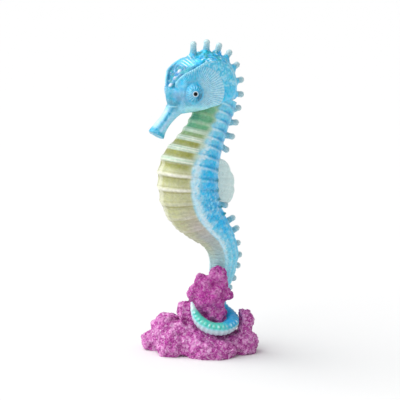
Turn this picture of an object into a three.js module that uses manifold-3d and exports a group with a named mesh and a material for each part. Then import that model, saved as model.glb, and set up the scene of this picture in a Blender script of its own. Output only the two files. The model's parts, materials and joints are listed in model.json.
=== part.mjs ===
// A moulded toy seahorse: it stands upright on its curled tail, which is wrapped round
// a lump of coral rock.
//
// Millimetres, +Z up. The animal's plane of symmetry is Y = 0 and it faces -X. The origin
// is at the bottom centre of the bounding box, on the flat underside of the rock.
//
// The toy is one solid moulding. Here it is parted by thin cuts into its head, neck, trunk,
// tail lengths, fin and rock, and each part is a closed solid of its own.

import * as THREE from 'three';
import { mergeVertices } from 'three/addons/utils/BufferGeometryUtils.js';
import Module from 'manifold-3d';

const wasm = await Module();
wasm.setup();

// ---------------------------------------------------------------- driving dimensions

const gap = 0.3;             // cut between neighbouring parts
const baseTurn = 34;         // degrees from the animal's plane to the length of the rock
const sectionSides = 16;     // facets round the body
const headSides = 30;        // facets round the head
const spineSides = 7;
const eyeSides = 18;
const widthToDepth = 0.76;   // half width of the body over its half depth
const curlWidth = 0.92;      // the same where the tail curls
const ringRelief = 0.32;     // height of a body ring over the groove beside it
const keelRise = 0.07;       // extra depth of the belly keel, as a share of the half depth
const spineRadius = 1.05;    // thick end of a back spine
const finThickness = 1.6;
const eyeFoot = [-7.2, 7.2, 96.4];   // middle of the foot of the cone that carries an eye
const eyeRadius = 3.4;       // radius of that cone at its foot
const eyeHeight = 2.6;
const eyeRoot = 1;           // depth that the cone goes on into the cheek
const eyeTurn = 25;          // degrees that it leans forward from square to the cheek
const eyeProfile = [[1, 0], [0.92, 0.45], [0.72, 0.8], [0.38, 1]];   // shares of both

// Rings of the body in the plane of symmetry, from inside the head down to the rock. Each
// row is a ring number, x, z, half depth and tilt: a ring that tilts by a positive angle
// is lower at the back than at the belly.
const bodyRings = [
  [1, 8.1, 93.5, 7.6, 21],
  [2, 6.6, 90.2, 7.9, 21],
  [4, 3.4, 83.1, 7.9, 17],
  [6, -1.0, 76.3, 9.6, 15.5],
  [7, -3.4, 73.0, 10.7, 13.5],
  [8, -4.8, 69.4, 11.3, 10.5],
  [9, -5.4, 65.0, 11.6, 6.5],
  [10, -5.1, 60.5, 11.5, 1],
  [11, -4.1, 56.2, 11.1, -5.5],
  [12, -2.0, 52.0, 10.3, -14],
  [13, 1.2, 48.4, 9.0, -21],
  [14, 4.1, 45.5, 7.7, -24.5],
  [15, 6.4, 43.3, 6.8, -23.5],
  [17, 9.0, 39.3, 6.0, -17],
  [19, 10.2, 35.3, 5.7, -9],
  [21, 10.0, 31.2, 5.3, -1.5],
  [23, 9.0, 27.3, 4.9, 6],
];

// Rings of the tail where it curls round the rock. Each row is a ring number, a place along
// the rock, a place across it (away from its front), a height and a radius.
const curlRings = [
  [25, 6.1, 4.4, 23.2, 4.2],
  [27, 5.7, 5.0, 19.0, 3.7],
  [29, 7.0, 5.2, 15.4, 3.3],
  [31.6, 10.3, 3.3, 13.0, 3.0],
  [34, 11.5, 0.0, 11.9, 2.75],
  [36.5, 10.8, -3.6, 11.2, 2.7],
  [39.5, 8.0, -6.6, 10.6, 2.65],
  [42.5, 3.7, -7.6, 11.2, 2.6],
  [45.5, 0.0, -6.8, 13.4, 2.4],
  [48, -1.9, -5.6, 16.2, 1.7],
  [51, -3.1, -4.6, 20.3, 0.5],
];

// Ring numbers where one length of the body ends and the next begins.
const bodyLengths = [
  { name: 'neck', from: 1, to: 6, color: 0x55bcd6 },
  { name: 'trunk_upper', from: 6, to: 10, color: 0xc9cf8a },
  { name: 'trunk_lower', from: 10, to: 14, color: 0xcfcdb0 },
  { name: 'tail_upper', from: 14, to: 22, color: 0x7cc9dc },
  { name: 'tail_middle', from: 22, to: 32, color: 0x6cc6cf },
  { name: 'tail_coil', from: 32, to: 45, color: 0x4fc4b4 },
  { name: 'tail_tip', from: 45, to: 51, color: 0x8fd8d2 },
];

// The head is a lens with a rim on each side. Each row is an angle about its centre, the
// radius of its crest in the plane of symmetry, the radius of the rim, and the distance of
// the rim from that plane. Angle 0 points to the back of the head and 90 to the crown.
const headCentre = [-0.5, 98.0];
const headOutline = [
  [0, 15.9, 11.9, 6.2], [12, 15.7, 11.5, 6.3], [27, 15.3, 11.2, 6.4], [44, 14.4, 10.8, 6.7],
  [64, 13.2, 9.8, 7.3], [84, 12.3, 9.2, 7.9], [103, 11.4, 9.2, 8.1], [120, 10.9, 9.3, 7.7],
  [134, 10.6, 9.8, 7.0], [145, 10.5, 10.5, 6.0], [153, 10.6, 11.1, 4.8], [160, 10.9, 11.5, 4.0],
  [167, 11.5, 11.7, 3.5], [174, 12.4, 11.8, 3.2], [182, 13.4, 11.8, 3.4], [190, 14.0, 11.5, 4.2],
  [202, 14.3, 10.6, 5.0], [220, 14.0, 9.6, 5.6], [241, 10.8, 8.8, 5.9], [256, 9.4, 8.2, 6.0],
  [279, 8.5, 7.4, 6.2], [303, 9.0, 8.0, 6.3], [319, 10.0, 8.8, 6.3], [338, 15.5, 11.2, 6.2],
];
const crownShares = [0, 0.4, 0.72, 1];   // rings of the crown, as shares of the rim's distance
const crownRounding = 1.6;   // how slowly the crest falls away to the rims
const cheekDistance = 8;     // distance of a cheek's middle from the plane of symmetry
const cheekShares = [0.88, 0.7, 0.4];    // rings of a cheek, as shares of the rim's radius
const cheekRounding = 4;     // how slowly the cheek falls away to its rim
const crownWidth = 7.6;      // band over the crown, between the two cheeks

// Snout: x, z and radius from inside the face to the rim of the mouth.
const snoutLine = [
  [-8.6, 92.8, 4.0],
  [-12.0, 89.4, 2.8],
  [-13.6, 87.7, 2.45],
  [-15.1, 86.1, 2.35],
  [-17.3, 83.7, 2.7],
  [-18.7, 81.6, 3.25],
];

// Spines of the back, from the brow to the rock: x and z of the tip, then a point inside.
const headSpines = [
  [-2.8, 114.0, -2.9, 105.5],
  [3.0, 114.4, 2.3, 106.0],
  [8.6, 112.9, 6.0, 105.0],
  [13.4, 110.0, 8.0, 103.2],
  [17.0, 105.1, 9.6, 101.0],
  [19.0, 99.2, 10.5, 97.8],
  [19.0, 93.6, 9.5, 94.6],
];
const neckSpines = [
  [17.9, 89.1, 10.0, 87.6],
  [16.8, 83.5, 9.0, 84.2],
  [15.1, 78.3, 7.2, 80.4],
  [12.5, 73.4, 6.0, 77.2],
];
const tailSpines = [
  [15.4, 49.0, 7.5, 46.0],
  [17.2, 45.0, 9.5, 42.0],
  [17.8, 39.2, 11.0, 38.2],
  [18.5, 34.6, 11.0, 34.6],
  [17.8, 30.5, 10.5, 31.2],
];
const lowSpines = [
  [16.0, 26.0, 9.5, 26.4],
  [14.2, 22.6, 8.0, 23.6],
];

// Fin on the back: its two corners inside the body, and the notches between its scallops.
const finRoot = [[3.0, 71.0], [3.0, 54.5]];
const finNotches = [[8.8, 71.0], [13.3, 66.0], [14.7, 59.4], [14.6, 55.7], [12.6, 52.4]];
const finBulge = 0.16;       // bulge of a scallop as a share of its length

// Lumps of the rock: place along, place across, height, then the three half sizes.
const rockLumps = [
  [1, 2, 3.5, 15, 11, 7.5],
  [-12, 2.5, 7, 6.3, 7, 7.7],
  [-17, 7, 2.5, 5, 5.5, 4.8],
  [-10.3, -2.5, 3.5, 5.8, 5.6, 6.5],
  [4, -5.3, 2, 9.5, 6.5, 5.6],
  [15.5, 1.2, 3, 6.6, 6.5, 6],
  [-6.5, 0, 8, 5.5, 5, 5],
  [2, 10, 3, 13, 7, 6.5],
];
const knobLumps = [[16.5, 3, 10.5, 3.6, 3.6, 5.9]];
const outcropLumps = [
  [5.6, -0.5, 12, 4.8, 4.8, 9],
  [-5.8, 0, 15.5, 3.1, 3.1, 4.6],
  [-2.2, -1, 22.3, 2.9, 3, 3.4],
  [0.4, -1.3, 27, 3, 2.8, 3.1],
  [6.5, -1.4, 29, 3.8, 3.5, 4.1],
  [3.3, -1.2, 20.8, 6.4, 4.6, 6],
  [9.5, -1, 22.2, 2.8, 2.9, 3.1],
  [3.6, -1.2, 26, 4.2, 3.6, 4],
  [-2, -0.4, 15, 4.5, 3.8, 5],
];

// ---------------------------------------------------------------- solids and surfaces

const degrees = THREE.MathUtils.degToRad;

// A closed three.js geometry as a solid that can be joined and cut, with its faces out.
function solid(geometry) {
  geometry.deleteAttribute('normal');
  geometry.deleteAttribute('uv');
  const merged = mergeVertices(geometry, 1e-4);
  const corners = merged.index.array;
  const position = merged.attributes.position;
  const triangles = [];
  let volume = 0;
  for (let i = 0; i < corners.length; i += 3) {
    const face = [corners[i], corners[i + 1], corners[i + 2]];
    if (new Set(face).size < 3) continue;
    const [a, b, c] = face.map((corner) => (
      new THREE.Vector3().fromBufferAttribute(position, corner)));
    volume += a.dot(b.cross(c));
    triangles.push(face);
  }
  if (volume < 0) triangles.forEach((face) => face.reverse());
  return new wasm.Manifold(new wasm.Mesh({
    numProp: 3,
    vertProperties: new Float32Array(position.array),
    triVerts: new Uint32Array(triangles.flat()),
  }));
}

function geometryOf(shape) {
  const mesh = shape.getMesh();
  const geometry = new THREE.BufferGeometry();
  geometry.setAttribute('position', new THREE.BufferAttribute(mesh.vertProperties, 3));
  geometry.setIndex(new THREE.BufferAttribute(mesh.triVerts, 1));
  geometry.computeVertexNormals();
  return geometry;
}

function join(shapes) {
  return shapes.reduce((whole, shape) => whole.add(shape));
}

// The closed skin over a row of rings with the same number of points, capped at both ends.
function closedSkin(rings) {
  const sides = rings[0].length;
  const positions = [];
  const triangles = [];
  for (const ring of rings) {
    for (const point of ring) positions.push(point.x, point.y, point.z);
  }
  for (let row = 0; row < rings.length - 1; row++) {
    for (let side = 0; side < sides; side++) {
      const next = (side + 1) % sides;
      const [a, b] = [row * sides + side, row * sides + next];
      triangles.push(a, b, a + sides, b, b + sides, a + sides);
    }
  }
  const last = (rings.length - 1) * sides;
  for (let side = 1; side < sides - 1; side++) {
    triangles.push(0, side + 1, side);
    triangles.push(last, last + side, last + side + 1);
  }
  const geometry = new THREE.BufferGeometry();
  geometry.setAttribute('position', new THREE.Float32BufferAttribute(positions, 3));
  geometry.setIndex(triangles);
  return geometry;
}

// A place given along and across the rock, in the part's own axes.
function onRock(along, across, height) {
  const turn = degrees(baseTurn);
  const x = along * Math.cos(turn) + across * Math.sin(turn);
  const y = -along * Math.sin(turn) + across * Math.cos(turn);
  return new THREE.Vector3(x, y, height);
}

// ---------------------------------------------------------------- body

// Every station of the body: its middle, the directions of its back and side, its half
// depth and half width, and its ring number.
const stations = bodyRings.map(([ring, x, z, depth, tilt]) => ({
  ring,
  place: new THREE.Vector3(x, 0, z),
  back: new THREE.Vector3(Math.cos(degrees(tilt)), 0, -Math.sin(degrees(tilt))),
  side: new THREE.Vector3(0, 1, 0),
  depth,
  width: depth * widthToDepth,
}));
for (const [ring, along, across, height, radius] of curlRings) {
  stations.push({
    ring, place: onRock(along, across, height), depth: radius, width: radius * curlWidth,
  });
}
const middleLine = new THREE.CatmullRomCurve3(stations.map((station) => station.place));

// Round the curl, a ring stands square to the tail, and its back direction is carried on
// from the ring before.
for (let i = bodyRings.length; i < stations.length; i++) {
  const tangent = middleLine.getTangent(i / (stations.length - 1));
  const back = stations[i - 1].back.clone();
  back.addScaledVector(tangent, -back.dot(tangent)).normalize();
  stations[i].back = back;
  stations[i].side = new THREE.Vector3().crossVectors(back, tangent);
}

// The station at any ring number, mixed from its two neighbours.
function bodyAt(ring) {
  const last = stations.length - 1;
  let index = 0;
  while (index < last - 1 && stations[index + 1].ring < ring) index++;
  const [before, after] = [stations[index], stations[index + 1]];
  const share = (ring - before.ring) / (after.ring - before.ring);
  return {
    place: middleLine.getPoint((index + share) / last),
    back: before.back.clone().lerp(after.back, share).normalize(),
    side: before.side.clone().lerp(after.side, share).normalize(),
    depth: THREE.MathUtils.lerp(before.depth, after.depth, share),
    width: THREE.MathUtils.lerp(before.width, after.width, share),
  };
}

// A ring of points round the body. The first point is on the back and the middle one on
// the keel of the belly. Shift moves the ring on towards the tip of the tail.
function bodyRing(ring, extra, shift) {
  const { place, back, side, depth, width } = bodyAt(ring);
  const onward = new THREE.Vector3().crossVectors(side, back);
  const points = [];
  for (let i = 0; i < sectionSides; i++) {
    const angle = 2 * Math.PI * i / sectionSides;
    const keel = depth * keelRise * Math.max(0, -Math.cos(angle)) ** 6;
    const outward = depth * Math.cos(angle);
    const sideways = width * Math.sin(angle);
    const grow = 1 + extra / Math.hypot(outward, sideways);
    points.push(place.clone()
      .addScaledVector(onward, shift)
      .addScaledVector(back, outward * grow - keel)
      .addScaledVector(side, sideways * grow));
  }
  return points;
}

// The body between two ring numbers, with a crest between each groove and the next. The
// ends are flat and stand half a gap inside the ring numbers.
function bodyLength(from, to) {
  const rows = (to - from) * 2;
  const rings = [];
  for (let row = 0; row <= rows; row++) {
    const relief = row % 2 === 1 ? ringRelief : -ringRelief;
    let shift = 0;
    if (row === 0) shift = gap / 2;
    if (row === rows) shift = -gap / 2;
    rings.push(bodyRing(from + row / 2, relief, shift));
  }
  return solid(closedSkin(rings));
}

// The space that a stretch of the body and the gap round it take out of its neighbours.
function bodyRoom(from, to, step) {
  const rings = [];
  for (let ring = from; ring < to; ring += step) rings.push(bodyRing(ring, gap + ringRelief, 0));
  rings.push(bodyRing(to, gap + ringRelief, gap));
  return solid(closedSkin(rings));
}

// ---------------------------------------------------------------- head

// Crest radius, rim radius and rim distance at an angle about the centre of the head.
function headRadii(angle) {
  const last = headOutline.length - 1;
  let index = 0;
  while (index < last && headOutline[index + 1][0] <= angle) index++;
  const from = headOutline[index];
  const to = index === last ? [360, ...headOutline[0].slice(1)] : headOutline[index + 1];
  const share = (angle - from[0]) / (to[0] - from[0]);
  return [1, 2, 3].map((column) => THREE.MathUtils.lerp(from[column], to[column], share));
}

// A ring about the centre of the head. The given rule turns crest radius, rim radius and rim
// distance at each angle into a radius and a distance from the plane of symmetry.
function headRing(rule) {
  const ring = [];
  for (let i = 0; i < headSides; i++) {
    const angle = 360 * i / headSides;
    const [radius, y] = rule(...headRadii(angle));
    const x = headCentre[0] + radius * Math.cos(degrees(angle));
    const z = headCentre[1] + radius * Math.sin(degrees(angle));
    ring.push(new THREE.Vector3(x, y, z));
  }
  return ring;
}

// The head from one cheek to the other: rings of a cheek, then the rim, the crest and the
// other rim, and the rings of the other cheek.
function headSolid(extra = 0) {
  const crown = crownShares.map((share) => headRing((crest, rim, distance) => [
    THREE.MathUtils.lerp(crest, rim, share ** crownRounding) + extra,
    (distance + extra / 2) * share,
  ]));
  const cheek = cheekShares.map((share) => headRing((crest, rim, distance) => [
    rim * share + extra,
    THREE.MathUtils.lerp(cheekDistance, distance, share ** cheekRounding) + extra,
  ]));
  const half = [...crown, ...cheek];
  const mirrored = half.slice(1).reverse().map((ring) => (
    ring.map((point) => new THREE.Vector3(point.x, -point.y, point.z))));
  return solid(closedSkin([...mirrored, ...half]));
}

// A slab between two values of Y, larger than the head.
const slabSize = 60;

function slab(fromY, toY) {
  const box = new THREE.BoxGeometry(slabSize, toY - fromY, slabSize);
  box.translate(0, (fromY + toY) / 2, headCentre[1]);
  return solid(box);
}

// A round body along a line of stations in the plane of symmetry.
function roundBody(line, sides) {
  const places = line.map(([x, z]) => new THREE.Vector3(x, 0, z));
  const rings = line.map(([, , radius], index) => {
    const before = places[Math.max(0, index - 1)];
    const after = places[Math.min(places.length - 1, index + 1)];
    const tangent = after.clone().sub(before).normalize();
    const side = new THREE.Vector3(0, 1, 0);
    const back = new THREE.Vector3().crossVectors(side, tangent);
    const ring = [];
    for (let i = 0; i < sides; i++) {
      const angle = 2 * Math.PI * i / sides;
      ring.push(places[index].clone()
        .addScaledVector(back, radius * Math.cos(angle))
        .addScaledVector(side, radius * Math.sin(angle)));
    }
    return ring;
  });
  return solid(closedSkin(rings));
}

// The cone that carries an eye. It leans forward out of the cheek. Side is -1 or 1.
function turret(side, extra = 0) {
  const [x, y, z] = eyeFoot;
  const radius = eyeRadius + extra;
  const top = eyeHeight + extra;
  const profile = [
    [0, -eyeRoot - extra], [radius, -eyeRoot - extra],
    ...eyeProfile.map(([across, up]) => [radius * across, top * up]), [0, top],
  ];
  const cone = new THREE.LatheGeometry(profile.map((p) => new THREE.Vector2(...p)), eyeSides);
  if (side < 0) cone.rotateX(Math.PI);
  cone.rotateZ(side * degrees(eyeTurn));
  cone.translate(x, side * y, z);
  return solid(cone);
}

// ---------------------------------------------------------------- spines and fin

// A spine with a rounded, slightly thicker tip, from a point inside the body to its tip.
function spine([tipX, tipZ, rootX, rootZ]) {
  const root = new THREE.Vector3(rootX, 0, rootZ);
  const way = new THREE.Vector3(tipX, 0, tipZ).sub(root);
  const length = way.length();
  const profile = [   // radius as a share of the thick end's, and distance from the root
    [0, 0], [1.1, 0], [0.85, length - 3], [1, length - 1.4], [0.7, length - 0.25],
    [0, length],
  ];
  const points = profile.map(([radius, height]) => (
    new THREE.Vector2(radius * spineRadius, height)));
  const shape = new THREE.LatheGeometry(points, spineSides);
  const turn = new THREE.Quaternion().setFromUnitVectors(
    new THREE.Vector3(0, 1, 0), way.normalize());
  shape.applyQuaternion(turn);
  shape.translate(rootX, 0, rootZ);
  return solid(shape);
}

function spines(rows) {
  return join(rows.map(spine));
}

// The fin is a flat plate with a scalloped outer edge. Each scallop is an arc that bulges
// between two notches.
function finPlate() {
  const outline = new THREE.Shape();
  outline.moveTo(...finRoot[0]);
  outline.lineTo(...finNotches[0]);
  for (let i = 1; i < finNotches.length; i++) {
    const [fromX, fromZ] = finNotches[i - 1];
    const [toX, toZ] = finNotches[i];
    const [alongX, alongZ] = [toX - fromX, toZ - fromZ];
    const bulge = finBulge * 2;
    outline.quadraticCurveTo(
      (fromX + toX) / 2 - alongZ * bulge, (fromZ + toZ) / 2 + alongX * bulge, toX, toZ);
  }
  outline.lineTo(...finRoot[1]);
  const plate = new THREE.ExtrudeGeometry(outline, {
    depth: finThickness, bevelEnabled: false, curveSegments: 4,
  });
  plate.rotateX(Math.PI / 2);
  plate.translate(0, finThickness / 2, 0);
  return solid(plate);
}

// ---------------------------------------------------------------- rock

function lumps(rows, extra = 0) {
  return join(rows.map(([along, across, height, halfAlong, halfAcross, halfHeight]) => {
    const ball = new THREE.SphereGeometry(1, 12, 8);
    ball.rotateX(Math.PI / 2);
    ball.scale(halfAlong + extra, halfAcross + extra, halfHeight + extra);
    ball.rotateZ(-degrees(baseTurn));
    ball.translate(...onRock(along, across, height));
    return solid(ball);
  }));
}

// Everything under the flat underside of the rock.
function belowFloor() {
  const size = 200;
  const box = new THREE.BoxGeometry(size, size, size);
  box.translate(0, 0, -size / 2);
  return solid(box);
}

// ---------------------------------------------------------------- the parts

const parts = [];

function addPart(name, shape, color, roughness = 0.35) {
  parts.push({ name, shape, color, roughness });
}

const head = headSolid();
const headRoom = headSolid(gap);
const turretRoom = join([turret(-1, gap), turret(1, gap)]);
const crownHalf = crownWidth / 2;

addPart('head', join([head.intersect(slab(-crownHalf, crownHalf)), spines(headSpines)]),
  0x5bb8e0);
addPart('snout', roundBody(snoutLine, 14).subtract(headRoom), 0x4fb2e2);
addPart('cheek_left', head.intersect(slab(-slabSize, -crownHalf - gap)).subtract(turretRoom),
  0x6cc0e2);
addPart('cheek_right', head.intersect(slab(crownHalf + gap, slabSize)).subtract(turretRoom),
  0x6cc0e2);
addPart('eye_left', turret(-1), 0x2f8fcf);
addPart('eye_right', turret(1), 0x2f8fcf);

const growths = {
  neck: spines(neckSpines),
  tail_upper: spines(tailSpines),
  tail_middle: spines(lowSpines),
};
for (const { name, from, to, color } of bodyLengths) {
  let shape = bodyLength(from, to);
  if (growths[name]) shape = shape.add(growths[name]);
  if (name === 'neck') shape = shape.subtract(headRoom);
  addPart(name, shape, color);
}

addPart('dorsal_fin', finPlate().subtract(bodyRoom(6, 16, 1)), 0xcdece6, 0.3);

const tailRoom = join([bodyRoom(14, 51, 2), ...lowSpines.map(spine)]);
const rockRoom = lumps(rockLumps, gap).add(tailRoom);
addPart('base_rock', lumps(rockLumps).subtract(belowFloor()).subtract(tailRoom), 0xa43c9c,
  0.5);
addPart('base_outcrop', lumps(outcropLumps).subtract(rockRoom), 0xb045a6, 0.5);
addPart('base_knob', lumps(knobLumps).subtract(rockRoom), 0xb045a6, 0.5);

const seahorse = new THREE.Group();
for (const { name, shape, color, roughness } of parts) {
  const material = new THREE.MeshStandardMaterial({ color, roughness, metalness: 0 });
  const mesh = new THREE.Mesh(geometryOf(shape), material);
  mesh.name = name;
  seahorse.add(mesh);
}

// Bring the bottom centre of the bounding box to the origin.
const box = new THREE.Box3().setFromObject(seahorse);
const middle = box.getCenter(new THREE.Vector3());
seahorse.position.set(-middle.x, -middle.y, -box.min.z);

export default seahorse;
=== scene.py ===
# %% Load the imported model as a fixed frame
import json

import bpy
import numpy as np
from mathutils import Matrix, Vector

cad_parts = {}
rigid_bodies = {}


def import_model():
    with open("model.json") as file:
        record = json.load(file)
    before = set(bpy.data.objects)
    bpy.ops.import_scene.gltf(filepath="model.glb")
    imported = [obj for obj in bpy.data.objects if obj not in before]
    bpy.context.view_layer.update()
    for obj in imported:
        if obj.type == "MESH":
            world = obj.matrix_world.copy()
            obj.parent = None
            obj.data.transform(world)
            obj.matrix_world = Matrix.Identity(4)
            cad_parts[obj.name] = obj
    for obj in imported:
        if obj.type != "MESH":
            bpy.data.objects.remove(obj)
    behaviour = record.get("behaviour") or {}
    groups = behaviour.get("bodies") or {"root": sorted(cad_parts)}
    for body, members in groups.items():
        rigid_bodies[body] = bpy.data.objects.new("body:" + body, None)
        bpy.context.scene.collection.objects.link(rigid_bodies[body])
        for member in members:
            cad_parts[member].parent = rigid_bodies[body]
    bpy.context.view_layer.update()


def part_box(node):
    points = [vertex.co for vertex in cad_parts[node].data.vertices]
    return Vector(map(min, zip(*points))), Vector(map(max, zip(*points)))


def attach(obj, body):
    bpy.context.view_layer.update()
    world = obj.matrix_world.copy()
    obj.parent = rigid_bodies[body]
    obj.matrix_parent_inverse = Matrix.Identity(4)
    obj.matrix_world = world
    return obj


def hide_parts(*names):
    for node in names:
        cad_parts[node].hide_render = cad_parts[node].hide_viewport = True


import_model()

# %% [markdown]
# # A moulded toy seahorse
#
# The real thing is one hand-size casting in soft plastic: a seahorse that stands upright,
# its tail wound round a lump of coral rock. It was sprayed with pearly sky blue, the belly
# was washed with straw yellow, the grooves took darker paint, and the rock is clear magenta
# plastic full of glitter. The spines and the back fin are milky and let light through.
#
# Every shape below is worked out in millimetres, in the axes of the drawing: the animal's
# plane of symmetry is Y = 0 and it faces -X. One shift brings the drawing onto the frame.

MM = 0.001
REAR_TIP, TOP_TIP = 19.0, 114.4             # how far back and up the head's spines reach
head_low, head_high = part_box("head")
SHIFT = np.array([head_high[0] / MM - REAR_TIP, (head_low[1] + head_high[1]) / 2 / MM,
                  head_high[2] / MM - TOP_TIP])
print("the drawing moves by", SHIFT.round(2), "mm")

# %% [markdown]
# ## Small curves
#
# Nearly every form on the animal is a mix of the same few curves: a soft step up or down, a
# bell, and a smooth line through a short table of numbers. Each works on whole arrays at
# once.

# %% Curves
def held(value):
    """The value, held between 0 and 1."""
    return np.clip(value, 0, 1)


def rising(value, low, high):
    """0 below low, 1 above high, and 3t² - 2t³ between them, where t runs from 0 to 1."""
    t = held((value - low) / (high - low))
    return t * t * (3 - 2 * t)


def falling(value, low, high, to=0.0):
    """1 below low and the last number above high: 1 less what rises times the drop."""
    return 1 - (1 - to) * rising(value, low, high)


def window(value, low, in_by, out_from, high):
    """0 outside low to high, and 1 between the two numbers in the middle."""
    return rising(value, low, in_by) * falling(value, out_from, high)


def bell(value, middle, width):
    """e to the power of minus the square of (value - middle) / width."""
    return np.exp(-(((value - middle) / width) ** 2))


def flow(at, knots, rows):
    """A cubic curve through the rows of a table, read at any numbers along its knots. The
    slope at each knot is the one that its two neighbours give."""
    at, knots = np.asarray(at, float), np.asarray(knots, float)
    rows = np.asarray(rows, float).reshape(len(knots), -1)
    slopes = np.gradient(rows, knots, axis=0)
    i = np.clip(np.searchsorted(knots, at, side="right") - 1, 0, len(knots) - 2)
    step = (knots[i + 1] - knots[i])[:, None]
    t = ((at - knots[i]) / step[:, 0])[:, None]
    value = (rows[i] * (1 + 2 * t) * (1 - t) ** 2 + slopes[i] * step * t * (1 - t) ** 2
             + rows[i + 1] * t * t * (3 - 2 * t) + slopes[i + 1] * step * t * t * (t - 1))
    return value[:, 0] if value.shape[1] == 1 else value

# %% [markdown]
# ## Pebbles
#
# Pebbly skin and grainy rock use one cell pattern: space is cut into cubes, each cube holds
# one point at a place picked by its own number, and a surface point takes its distance to
# the nearest of them. Blender's Voronoi texture draws the same pattern, but only as colour
# or bump, and here the mesh itself has to follow it.

# %% The cell pattern
def apart(points, place):
    """The distance of each point from a place."""
    return np.linalg.norm(points - place, axis=-1)


def cell_noise(points, size, seed):
    """Distance to the nearest cell point, over the cell size, and that cell's own number
    from 0 to 1. A cube's point is picked by the fractions of large sines of its number."""
    scaled = points / size
    home = np.floor(scaled)
    nearest = np.full(len(points), 9.0)
    tone = np.zeros(len(points))
    for step in np.ndindex(3, 3, 3):
        cube = home + np.array(step) - 1
        mix = cube @ np.array([[127.1, 269.5, 419.2], [311.7, 183.3, 371.9],
                               [74.7, 246.1, 151.7]]) + seed
        jitter = np.modf(np.abs(np.sin(mix)) * 43758.5453)[0]
        gap = apart(cube + jitter, scaled)
        closer = gap < nearest
        nearest[closer] = gap[closer]
        tone[closer] = jitter[closer, 0]
    return nearest, tone

# %% [markdown]
# ## From grids to meshes
#
# A shape here is a grid of points: rows along it and columns round it. The columns close on
# themselves, and each end is shut by a fan of triangles. Some forms are then melted into
# one: their closed skins are laid into one mesh, and a Remesh modifier wraps the lot in a
# single new skin of small squares, as if they had been cast together.

# %% Grids
def closed_grid(points):
    """Points and faces of a closed skin over a rows × columns × 3 grid. Point number is
    row × columns + column, and the last two points are the middles of the end rows. The
    faces turn outward: the volume, a · (b × c + c × d) / 6 over all faces, is above 0."""
    rows, columns = points.shape[:2]
    row, column = np.meshgrid(np.arange(rows - 1), np.arange(columns), indexing="ij")
    here, beside = row * columns + column, row * columns + (column + 1) % columns
    quads = np.stack([here, beside, beside + columns, here + columns], -1).reshape(-1, 4)
    ring, after = np.arange(columns), (np.arange(columns) + 1) % columns
    first, last = np.full(columns, rows * columns), np.full(columns, rows * columns + 1)
    far = (rows - 1) * columns
    fans = np.concatenate([np.stack([after, ring, first, first], -1),
                           np.stack([far + ring, far + after, last, last], -1)])
    flat = np.concatenate([points.reshape(-1, 3), [points[0].mean(0), points[-1].mean(0)]])
    faces = np.concatenate([quads, fans])
    a, b, c, d = (flat[faces[:, k]] for k in range(4))
    if np.sum(a * (np.cross(b, c) + np.cross(c, d))) < 0:
        faces = faces[:, ::-1]
    return flat, faces


def laid_together(skins):
    """Several skins as one list of points and one of faces, each numbered on from the last."""
    starts = np.cumsum([0] + [len(points) for points, _ in skins])
    return (np.concatenate([points for points, _ in skins]),
            np.concatenate([faces + start for (_, faces), start in zip(skins, starts)]))

# %% Meshes and pieces
def mesh_of(name, points, faces):
    """A mesh from points and faces. A face whose last corners are the same is a triangle."""
    corners = [tuple(dict.fromkeys(face)) for face in faces.tolist()]
    mesh = bpy.data.meshes.new(name)
    mesh.from_pydata(points.tolist(), [], corners)
    mesh.polygons.foreach_set("use_smooth", np.ones(len(mesh.polygons), bool))
    mesh.update()
    return mesh


def placed(name, data):
    """An object for a mesh, a lamp or a camera, put in the scene."""
    thing = bpy.data.objects.new(name, data)
    bpy.context.scene.collection.objects.link(thing)
    return thing


def piece_of(name, points, faces, replaced=(), masks=None):
    """A finished piece of the toy from points in millimetres. Masks are named values from 0
    to 1, one for each point, which its paint reads."""
    mesh = mesh_of(name, (points + SHIFT) * MM, faces)
    for mask, values in (masks or {}).items():
        attribute = mesh.attributes.new(mask, "FLOAT", "POINT")
        attribute.data.foreach_set("value", held(values).astype(np.float32))
    piece = placed(name, mesh)
    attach(piece, "root")
    if replaced:
        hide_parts(*replaced)
    triangles = sum(len(p.vertices) - 2 for p in mesh.polygons)
    print(f"{name}: {len(mesh.vertices)} points, {triangles} triangles")
    return piece

# %% Melting several forms into one
def melted(skins, square, softening):
    """Points, faces and outward directions of one skin round several. Square is the side
    of its faces in millimetres, and softening the number of smoothing passes."""
    points, faces = laid_together(skins)
    lump = placed("lump", mesh_of("lump", points, faces))
    remesh = lump.modifiers.new("one skin", "REMESH")
    remesh.mode = "VOXEL"
    remesh.voxel_size = square
    smooth = lump.modifiers.new("soften", "SMOOTH")
    smooth.factor = 0.5
    smooth.iterations = softening
    mesh = bpy.data.meshes.new_from_object(
        lump.evaluated_get(bpy.context.evaluated_depsgraph_get()))
    new_points = np.empty(len(mesh.vertices) * 3, np.float32)
    outward = np.empty(len(mesh.vertices) * 3, np.float32)
    mesh.vertices.foreach_get("co", new_points)
    mesh.vertex_normals.foreach_get("vector", outward)
    new_faces = np.array([p.vertices[:] for p in mesh.polygons])
    bpy.data.objects.remove(lump)
    return new_points.reshape(-1, 3).astype(float), new_faces, outward.reshape(-1, 3)

# %% [markdown]
# ## The body
#
# A seahorse has no scales. Its skin is drawn over bony rings, which on this toy are bands
# with a groove between each and the next. The body is a profile carried along a path: the
# path is a curve down the middle of the animal, and at each ring number the table gives its
# place, its half depth from back to belly, and how far the ring tips down at the back. It
# could be sculpted, but rings from a table stay where they are put, and the fine forms
# below can be placed by ring number and angle.

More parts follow.
